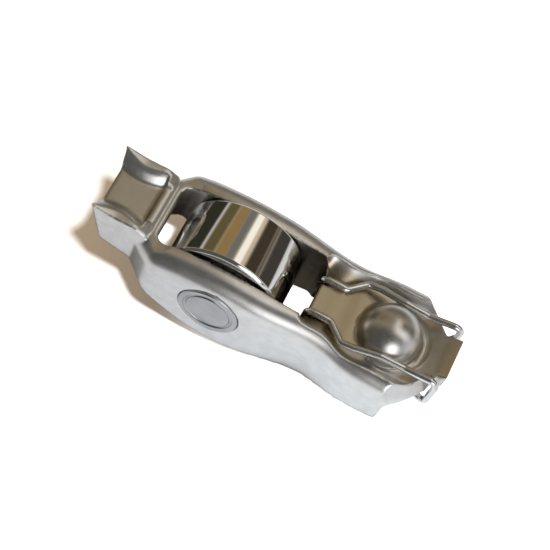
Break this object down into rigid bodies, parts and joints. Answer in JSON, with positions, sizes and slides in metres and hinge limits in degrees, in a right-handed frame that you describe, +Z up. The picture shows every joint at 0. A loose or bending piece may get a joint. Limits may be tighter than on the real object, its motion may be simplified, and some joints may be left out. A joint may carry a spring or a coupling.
{
  "type": "rocker arm",
  "caption": "Roller finger rocker arm: drawn steel lever with a valve pad, a cam roller on needles, a domed ball socket and a wire clip for the lash adjuster.",
  "frame": {"origin": "centre of the ball socket at the lever's tail", "axes": "+X from the valve end to the tail as the arm lies on a flat surface, +Y along the roller's axle, +Z up"},
  "size_m": [0.0516, 0.0172, 0.0178],
  "materials": {
    "arm": "drawn steel sheet, hardened and blasted to a satin grey",
    "axle": "turned steel with staked ends",
    "roller": "ground and polished bearing steel",
    "needle": "ground and polished bearing steel",
    "retaining_clip": "bright drawn spring wire"
  },
  "bodies": {
    "lever": {"arm": "arm", "axle": "axle", "retaining_clip": "retaining_clip"},
    "cam_roller": {"roller": "roller"},
    "needle_set": {"needle_01": "needle", "needle_02": "needle", "needle_03": "needle", "needle_04": "needle", "needle_05": "needle", "needle_06": "needle", "needle_07": "needle", "needle_08": "needle", "needle_09": "needle", "needle_10": "needle", "needle_11": "needle", "needle_12": "needle", "needle_13": "needle", "needle_14": "needle", "needle_15": "needle", "needle_16": "needle", "needle_17": "needle", "needle_18": "needle", "needle_19": "needle", "needle_20": "needle"}
  },
  "joints": [
    {"name": "roller_spin", "type": "hinge", "parent": "lever", "child": "cam_roller", "pos_m": [-0.02299, 0, 0.00263], "axis": [0, 1, 0], "continuous": true},
    {"name": "needle_orbit", "type": "hinge", "parent": "lever", "child": "needle_set", "pos_m": [-0.02299, 0, 0.00263], "axis": [0, 1, 0], "continuous": true}
  ],
  "couplings": [
    {"joint": "needle_orbit", "follows": "roller_spin", "ratio": 0.5797}
  ]
}
